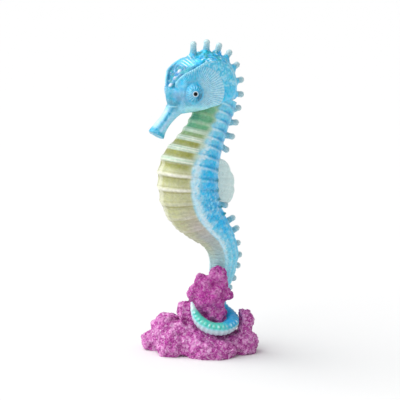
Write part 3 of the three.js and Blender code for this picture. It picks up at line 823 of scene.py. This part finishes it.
# %% The fin
fin_root = np.array([[3.0, 71.0], [3.0, 56.0]])
notches = np.array([[8.8, 71.0], [13.3, 66.0], [14.7, 60.2], [14.5, 57.2], [12.0, 54.3]])
stretch = np.linspace(0, 3.9999, 160)
piece_no = stretch.astype(int)
part = (stretch - piece_no)[:, None]
start, end = notches[piece_no], notches[piece_no + 1]
bulge = (start + end) / 2 + (end - start)[:, ::-1] * [-1, 1] * 0.3
edge = start * (1 - part) ** 2 + bulge * 2 * part * (1 - part) + end * part ** 2
foot = fin_root[0] + (fin_root[1] - fin_root[0]) * (stretch / 4)[:, None]
out = np.concatenate([np.linspace(0, 0.98, 30), [0.995, 1.0, 0.995], np.linspace(0.98, 0, 30)])
face = np.concatenate([np.ones(30), [0.6, 0, -0.6], -np.ones(30)])
rays = np.abs(np.sin(np.pi * stretch * 2))[:, None] ** 0.7
thickness = 0.72 - 0.3 * out + 0.12 * (rays - 0.6) * bell(out, 0.7, 0.35)
flat = foot[:, None] + (edge - foot)[:, None] * out[:, None]
fin = np.stack([flat[..., 0], face * thickness, flat[..., 1]], -1)
fin_points, fin_faces = closed_grid(fin)
fin_piece = piece_of("dorsal_fin_web", fin_points, fin_faces, ["dorsal_fin"], {
    "edge": np.append((out + 0 * rays).ravel(), [0, 0]),
    "ray": np.append((rays + 0 * out).ravel(), [0, 0])})

# %% [markdown]
# ## Rock
#
# The rock is a heap of rounded lumps, melted together and then roughened: broad swellings
# first, then grains of two sizes from the cell pattern. Lumps hold the outline, and the
# curl of the tail presses a trench into them.

# %% Lumps: along, across, height, then half sizes
lumps = np.array([
    [1, 2, 3.5, 15, 11, 7.5], [-12, 2.5, 7, 6.3, 7, 7.7], [-17, 7, 2.5, 5, 5.5, 4.8],
    [-10.3, -2.5, 3.5, 5.8, 5.6, 6.5], [4, -5.3, 2, 9.5, 6.5, 5.6],
    [15.4, 1.2, 3, 6.35, 6.4, 6], [-6.5, 0, 8, 5.5, 5, 5], [2, 10, 3, 13, 6.9, 6.5],
    [16.5, 3, 10.5, 3.6, 3.6, 5.9],
    [5.6, -0.5, 12, 4.8, 4.8, 9], [-5.8, 0, 15.5, 3.1, 3.1, 4.6],
    [-2.2, -1, 22.3, 2.9, 3, 3.4], [0.4, -1.3, 27, 3, 2.8, 3.1],
    [6.5, -1.4, 29, 3.8, 3.5, 4.1], [3.3, -1.2, 20.8, 6.4, 4.6, 6],
    [9.5, -1, 22.2, 2.8, 2.9, 3.1], [3.6, -1.2, 26, 4.2, 3.6, 4],
    [-2, -0.4, 15, 4.5, 3.8, 5], [7.4, -1.2, 25, 3.1, 3.2, 4]])
print(len(lumps), "lumps")


def lump_grid(along, across, height, half_along, half_across, half_height):
    """A ball stretched to three half sizes, from pole to pole, turned with the rock."""
    up = np.linspace(-0.985, 0.985, 40)[:, None] * np.pi / 2
    around = np.linspace(0, 2 * np.pi, 60, endpoint=False)
    return on_rock(along + half_along * np.cos(up) * np.cos(around),
                   across + half_across * np.cos(up) * np.sin(around),
                   height + half_height * np.sin(up) + 0 * around)

# %% The rock
rock_points, rock_faces, rock_out = melted(
    [closed_grid(lump_grid(*lump)) for lump in lumps], square=0.24, softening=4)
swell = sum(np.sin(rock_points @ np.array(wave) + turn) for wave, turn in [
    ([0.9, 0.5, 0.7], 0), ([-0.6, 1.1, 0.4], 2), ([0.5, -0.7, 1.2], 4), ([1.6, 1.3, -1.1], 1)])
grain, tone = cell_noise(rock_points, size=1.6, seed=3)
fine = cell_noise(rock_points, size=0.6, seed=8)[0]
tail_rings = np.linspace(22, 51, 160)
tail_line, tail_radius = flow(tail_rings, stations, path), flow(tail_rings, stations, depths)
to_tail = np.min([apart(rock_points, place) - radius
                  for place, radius in zip(tail_line, tail_radius)], axis=0)
trench = bell(to_tail, 0, 0.8)
rock_relief = 0.22 * swell - 0.55 * grain * (0.5 + tone) - 0.3 * fine - 0.7 * trench - 0.05
rock_points = rock_points + rock_out * rock_relief[:, None]
rock_points[:, 2] = np.maximum(rock_points[:, 2], -SHIFT[2])
rock = piece_of("coral_rock", rock_points, rock_faces,
                ["base_rock", "base_outcrop", "base_knob"],
                # painted shade in the rock's hollows and in the trench round the tail
                {"crevice_shade": held(1.6 * (grain - 0.45)) + 0.8 * trench,
                 "outcrop": rising(rock_points[:, 2], 11, 15) * rising(rock_points[:, 0], -8, -4)
                            * falling(rock_points[:, 0], 12, 14),
                 # painted highlight: lighter pink on the tops of the broad swellings
                 "crest": rising(swell, 0.3, 1.8)})

# %% [markdown]
# ## Paint and plastic
#
# A finish is a stack: one base colour, then paints laid over it, each through a mask from
# the mesh. A painted texture needs an unwrapped skin, and masks do not. The shared pearl
# group breaks each colour up with fine mica flecks, mottles it with a soft noise, and gives
# the roughness and a height for the bump. What is the same all over a surface is set on the
# shader itself.

# %% Colours and nodes
def tint(code):
    """Linear red, green and blue of a six-figure screen colour, and alpha 1."""
    screen = np.array([int(code[i:i + 2], 16) for i in (0, 2, 4)]) / 255
    linear = np.where(screen < 0.04045, screen / 12.92, ((screen + 0.055) / 1.055) ** 2.4)
    return (*linear.tolist(), 1.0)


def fill(node, inputs):
    """Fill a node's inputs. Another node's output is linked, and a value is written."""
    for key, value in inputs.items():
        if isinstance(value, bpy.types.NodeSocket):
            node.id_data.links.new(value, node.inputs[key])
        else:
            node.inputs[key].default_value = value


def add_node(tree, kind, inputs, **settings):
    """A shader node with its settings and its inputs."""
    node = tree.nodes.new("ShaderNode" + kind)
    for key, value in settings.items():
        setattr(node, key, value)
    fill(node, inputs)
    return node


def maths(operation, a, b=0.0, clamp=False):
    """A Math node's output. It joins the tree of whichever of a and b is an output."""
    tree = (a if isinstance(a, bpy.types.NodeSocket) else b).id_data
    return add_node(tree, "Math", {0: a, 1: b}, operation=operation, use_clamp=clamp).outputs[0]


def plus(a, b):
    return maths("ADD", a, b)


def less(a, b):
    return maths("SUBTRACT", a, b)


def times(a, b, clamp=False):
    return maths("MULTIPLY", a, b, clamp)


def vectors(operation, a, inputs=()):
    """A Vector Math node's output, for the vector a."""
    return add_node(a.id_data, "VectorMath", {0: a, **dict(inputs)},
                    operation=operation).outputs[0]


def laid_over(under, colour, mask):
    """One colour over another, as far as the mask says."""
    return add_node(mask.id_data, "Mix", {"Factor": mask, 6: under, 7: colour},
                    data_type="RGBA").outputs[2]

# %% Masks, noises, groups and materials
def mask_of(tree, name, strength=1.0):
    """A mask that was kept on the mesh, times a strength."""
    kept = add_node(tree, "Attribute", {}, attribute_name=name).outputs["Fac"]
    return kept if strength == 1.0 else times(kept, strength)


def object_place(tree):
    return add_node(tree, "TexCoord", {}).outputs["Object"]


def cells_at(tree, scale):
    """A colour picked at random for each cell, and that many cells to a metre."""
    return add_node(tree, "TexVoronoi", {"Vector": object_place(tree),
                                         "Scale": scale}).outputs["Color"]


def noise_at(tree, scale, detail):
    """A cloudy noise with that many waves to a metre."""
    return add_node(tree, "TexNoise", {"Vector": object_place(tree), "Scale": scale,
                                       "Detail": detail}).outputs


def channels(colour):
    """Red, green and blue of a colour output."""
    return add_node(colour.id_data, "SeparateColor", {"Color": colour}).outputs


def new_group(name, sockets_in, sockets_out):
    """A shader node group with named sockets, and its input and output nodes."""
    tree = bpy.data.node_groups.new(name, "ShaderNodeTree")
    for direction, sockets in (("INPUT", sockets_in), ("OUTPUT", sockets_out)):
        for label, kind in sockets:
            tree.interface.new_socket(label, in_out=direction, socket_type=kind)
    return tree, tree.nodes.new("NodeGroupInput").outputs, tree.nodes.new("NodeGroupOutput")


def new_material(name, values):
    """A material, its tree and its shader, with plain values on the shader's sockets."""
    material = bpy.data.materials.new(name)
    material.use_nodes = True
    shader = material.node_tree.nodes["Principled BSDF"]
    fill(shader, values)
    return material, material.node_tree, shader

# %% The pearl group
COLOUR, VALUE = "NodeSocketColor", "NodeSocketFloat"
pearl, pearl_in, pearl_out = new_group(
    "Pearl paint", [("Color", COLOUR), ("Mica", VALUE), ("Mottle", VALUE)],
    [("Color", COLOUR), ("Roughness", VALUE), ("Height", VALUE)])
fleck = channels(cells_at(pearl, 3300.0))
cloud = noise_at(pearl, 900.0, 3.0)
drifts = channels(cloud["Color"])
bright = times(maths("POWER", fleck[0], 6.0), pearl_in["Mica"])
spotted = laid_over(pearl_in["Color"], (1, 1, 1, 1), bright)
swings = [plus(centre, times(pearl_in["Mottle"], less(drifts[i], 0.5)))
          for i, centre in enumerate((5.0, 1.0, 1.0))]
mottled = add_node(pearl, "HueSaturation", {
    "Hue": times(swings[0], 0.1), "Saturation": swings[1], "Value": swings[2],
    "Color": spotted})
fill(pearl_out, {"Color": mottled.outputs["Color"],
                 "Roughness": plus(times(cloud["Fac"], 0.25), 0.18),
                 "Height": plus(times(fleck[1], 0.25), cloud["Fac"])})
print("groups:", [group.name for group in bpy.data.node_groups])

# %% Painted pearl skins
def coated(name, base, layers, mica, mottle, values, engraving=None):
    """A material under the pearl paint. Layers are (mask, strength, colour), laid on in
    order. An engraving is a function of the tree and the colour, and gives a new colour
    and a height in millimetres."""
    material, tree, shader = new_material(name, values)
    colour, height = tint(base), None
    for mask, strength, paint in layers:
        colour = laid_over(colour, tint(paint), mask_of(tree, mask, strength))
    if engraving:
        colour, height = engraving(tree, colour)
    coat = add_node(tree, "Group", {}, node_tree=pearl)
    fill(coat, {"Color": colour, "Mica": mica, "Mottle": mottle})
    fill(shader, {"Base Color": coat.outputs["Color"], "Roughness": coat.outputs["Roughness"]})
    return material, tree, shader, coat.outputs["Height"], height


def painted(name, base, layers, engraving=None):
    """Pearl paint with its fine bump, under a thin clear coat."""
    material, tree, shader, grain, height = coated(
        name, base, layers, 0.07, 0.55, {"Metallic": 0.05, "Specular IOR Level": 0.24,
                                         "Coat Weight": 0.1, "Coat Roughness": 0.12}, engraving)
    tall = times(grain, 0.05)
    bump = add_node(tree, "Bump", {"Height": plus(tall, height) if engraving else tall,
                                   "Distance": MM, "Strength": 1.0})
    fill(shader, {"Normal": bump.outputs["Normal"]})
    return material


# Painted light and shade among these layers: the flank's light band, the white of the cords, the
# dark line under each cord, the dark of the wrinkles and of the gaps between pebbles, and the
# light on pebbles, beads and knobs.
body_skin.data.materials.append(painted("pearl_body", "72cfec", [
    ("deep", 1.0, "00baf2"), ("shine", 0.9, "d4edf7"), ("straw", 1.0, "c2c49c"),
    ("ash", 0.85, "b4b4a8"), ("rose", 0.5, "c6b6c2"), ("warm", 0.6, "c4c896"),
    ("crease", 0.35, "8f9384"), ("sage", 0.75, "bcd8c6"),
    ("moss", 0.95, "6cb288"), ("olive", 0.95, "92964a"), ("groove", 0.95, "089ad0"),
    ("cord_edge", 0.7, "85803c"), ("cord", 0.95, "ecebdf"), ("keel", 0.6, "dedfc8"),
    ("pebble", 0.75, "0a94d0"), ("pebble_highlight", 0.65, "a4e4fa"), ("aqua", 0.5, "8edaea"),
    ("pearl_grey", 0.9, "bccad2"), ("teal", 0.9, "48c2ac"), ("bend", 1.0, "02a0da"),
    ("bead_highlight", 0.8, "d6f2f6"), ("back_bead", 0.95, "04828c"), ("tip", 0.8, "dfeaf0")]))

# %% [markdown]
# ### Grooves that fan out from the eye
#
# The cheek is engraved with fine grooves that run out from the eye like spokes, and past
# them with a net of small wandering lines. A sine of the angle about the eye makes the
# spokes, and the sine of a noise makes the net.

# %% The engraved cheek
def engraved(tree, colour):
    """Spokes: sine of 68 times the angle about the eye's axis, loosened by a noise. Net:
    sine of that noise, as the lines of equal height on a map wander. Eye: sine of 17
    times the angle, loosened twice as much."""
    moved = vectors("SUBTRACT", object_place(tree), {1: (SHIFT * MM).tolist()})
    moved, folded = (add_node(tree, "SeparateXYZ", {0: vector}).outputs
                     for vector in (moved, vectors("ABSOLUTE", moved)))
    along_x = less(moved["X"], EYE_FOOT[0] * MM)
    along_y = less(folded["Y"], EYE_FOOT[1] * MM)
    around = maths("ARCTAN2", less(moved["Z"], EYE_FOOT[2] * MM),
                   plus(times(along_x, np.cos(EYE_LEAN)), times(along_y, np.sin(EYE_LEAN))))
    drift = noise_at(tree, 480.0, 1.0)["Fac"]
    spokes = maths("SINE", plus(times(around, 68.0), times(drift, 4.0)))
    ridges = maths("SINE", plus(times(around, 17.0), times(drift, 8.0)))
    net = maths("SINE", times(drift, 20.0))
    height = plus(times(spokes, mask_of(tree, "fan", 0.07)),
                  times(net, mask_of(tree, "net", 0.07)))
    height = plus(height, times(ridges, mask_of(tree, "rosette", 0.045)))
    # painted shade darkens the sunk lines of the engraving, and a painted highlight lightens the
    # raised ones
    groove_shade, raised = times(height, -5.0, clamp=True), times(height, 4.0, clamp=True)
    colour = laid_over(colour, tint("2a9fc8"), groove_shade)
    return laid_over(colour, tint("dcf0f5"), raised), height


# Painted light and shade among these layers: the lighter fan behind the eye, the dark of the
# recesses, of the snout's root and beside the frills, the cone's dark lower back and light
# front, the light lines of the frill and of the snout's crease, the glints, the white knobs and
# the snout's light streaks.
head_skin.data.materials.append(painted("pearl_head", "4ac4ee", [
    ("cheek", 0.8, "46c6f0"), ("net", 0.45, "84e4ff"), ("lilac", 0.85, "7aa6c6"),
    ("jaw", 0.8, "bceef0"), ("fan_back_lit", 0.6, "c4ecfa"), ("crown", 0.9, "46d2f6"),
    ("brow", 0.95, "0078b0"), ("snout", 0.8, "a6e0f4"), ("front", 0.8, "569cb4"),
    ("recess_shade", 0.7, "0c8cc4"), ("snout_deep", 1.0, "189cc4"), ("crease", 0.7, "b4e8f4"),
    ("cone", 0.9, "42a8d2"), ("cone_shade", 1.0, "00749c"), ("cone_highlight", 0.5, "94d6ec"),
    ("under", 1.0, "007ca4"), ("forehead", 0.85, "86aecc"), ("frill", 0.55, "b4e6f2"),
    ("blue", 0.5, "1a92d6"), ("teal", 0.75, "1498a4"), ("glint", 0.85, "e0f0fa"),
    ("knob_highlight", 0.9, "dcdcf0"), ("snout_reflection", 0.6, "ccd2ee"), ("mouth", 0.85, "16a6c8"),
    ("root_shade", 0.95, "047a98")], engraved))

# %% [markdown]
# ### Eyes, milky plastic and glitter
#
# The eye is enamel. The spines and the fin are a milky plastic, whose light goes in and
# comes out again nearby, so they have subsurface scattering and a little transmission. The
# rock is full of flakes: each cell of a fine pattern has its own colour, its own roughness
# and its own tilt, so that some of them flash from any side.

# %% Enamel eyes
enamel, tree, shader = new_material("enamel", {"Roughness": 0.3, "Specular IOR Level": 0.15})
white = laid_over(tint("4aa5cf"), tint("cbe0ee"), mask_of(tree, "ring"))
fill(shader, {"Base Color": laid_over(white, tint("010102"), mask_of(tree, "pupil"))})
eye_piece.data.materials.append(enamel)

# %% Milky plastic
MILKY = {"Subsurface Weight": 0.6, "Subsurface Radius": (1.0, 1.0, 1.0),
         "Subsurface Scale": 0.0008, "Transmission Weight": 0.1, "Coat Weight": 0.4}
spine_piece.data.materials.append(
    coated("milky_spines", "bcdadf", [("root", 0.95, "5cb8d2")], 0.3, 0.3, MILKY)[0])
fin_piece.data.materials.append(
    coated("milky_fin", "dcf0ee", [("ray", 0.35, "b7d9da"), ("edge", 0.3, "e4ece8")],
           0.3, 0.3, MILKY)[0])

# %% Glitter rock
glitter, tree, shader = new_material("glitter_rock", {"Specular IOR Level": 0.2})
flakes = cells_at(tree, 2400.0)
flake = channels(flakes)
ramp = add_node(tree, "ValToRGB", {"Fac": flake[0]})
stops = [(0.0, "94287e"), (0.3, "b0449c"), (0.6, "c566b0"), (0.84, "d68ac6"),
         (0.96, "e8b0dc"), (1.0, "f8e0f4")]
for at, code in stops[1:-1]:
    ramp.color_ramp.elements.new(at)
for element, (at, code) in zip(ramp.color_ramp.elements, stops):
    element.position, element.color = at, tint(code)
blotch = plus(times(noise_at(tree, 700.0, 2.0)["Fac"], 0.6),
              times(channels(cells_at(tree, 1000.0))[0], 0.4))
colour = ramp.outputs["Color"]
for paint, mask in (("dca6d2", times(less(blotch, 0.52), 4.0, clamp=True)),
                    ("9c1c84", times(times(less(0.5, blotch), 4.5, clamp=True), 0.6)),
                    ("a01088", mask_of(tree, "outcrop", 0.42)),
                    # painted highlight on the swellings
                    ("dc9cce", mask_of(tree, "crest", 0.22)),
                    # painted shade in the hollows and the trench
                    ("841470", mask_of(tree, "crevice_shade", 0.5))):
    colour = laid_over(colour, tint(paint), mask)
lean = vectors("SCALE", vectors("SUBTRACT", flakes, {1: (0.5, 0.5, 0.5)}), {"Scale": 0.38})
facing = add_node(tree, "NewGeometry", {}).outputs["Normal"]
fill(shader, {"Base Color": colour, "Roughness": plus(times(flake[1], 0.4), 0.2),
              "Normal": vectors("NORMALIZE", vectors("ADD", facing, {1: lean}))})
rock.data.materials.append(glitter)
print("materials:", [material.name for material in bpy.data.materials])

# %% [markdown]
# ## Studio
#
# A white room gives the even light. A broad soft lamp from the left gives the shadow on the
# right, and a small square one gives the highlights on the cords. The floor is plain and
# pale, and is not part of the toy. The camera is a long lens, a little above the animal
# and turned 34 degrees towards its face.

# %% Floor, light and camera
floor_mesh = bpy.data.meshes.new("floor")
floor_mesh.from_pydata([(-6, -6, 0), (6, -6, 0), (6, 6, 0), (-6, 6, 0)], [], [(0, 1, 2, 3)])
floor_mesh.materials.append(new_material("pale_floor", {
    "Base Color": (0.785, 0.785, 0.785, 1), "Roughness": 0.9, "Specular IOR Level": 0.1})[0])
placed("floor", floor_mesh)

world = bpy.data.worlds.new("white room")
world.use_nodes = True
fill(world.node_tree.nodes["Background"], {"Color": (1, 1, 1, 1), "Strength": 0.59})
bpy.context.scene.world = world
bpy.context.scene.view_settings.view_transform = "Standard"


def looking_in(name, data, azimuth, elevation, distance, aim):
    """A lamp or camera at a distance from its aim, in metres, and at an azimuth and an
    elevation in degrees. Azimuth 0 looks along +Y."""
    turn, rise = np.radians(azimuth), np.radians(elevation)
    toward = Vector((np.sin(turn) * np.cos(rise), -np.cos(turn) * np.cos(rise), np.sin(rise)))
    thing = placed(name, data)
    thing.location = Vector(aim) + toward * distance
    thing.rotation_euler = toward.to_track_quat("Z", "Y").to_euler()
    return thing


key = bpy.data.lights.new("key", "SUN")
key.energy, key.angle = 2.95, np.radians(74)
looking_in("key", key, azimuth=-116, elevation=48, distance=1.0, aim=(0, 0, 0.06))
glow = bpy.data.lights.new("glow", "AREA")
glow.energy, glow.size = 0.1, 0.2
looking_in("glow", glow, azimuth=-60, elevation=35, distance=0.5, aim=(0, 0, 0.06))

lens = bpy.data.cameras.new("camera")
lens.lens, lens.sensor_width = 162.5, 36
lens.clip_start, lens.clip_end = 0.05, 30
middle_of_toy = (np.array([0, 0, 56.64]) + SHIFT) * MM
bpy.context.scene.camera = looking_in("camera", lens, azimuth=-34, elevation=10,
                                      distance=0.65, aim=middle_of_toy)
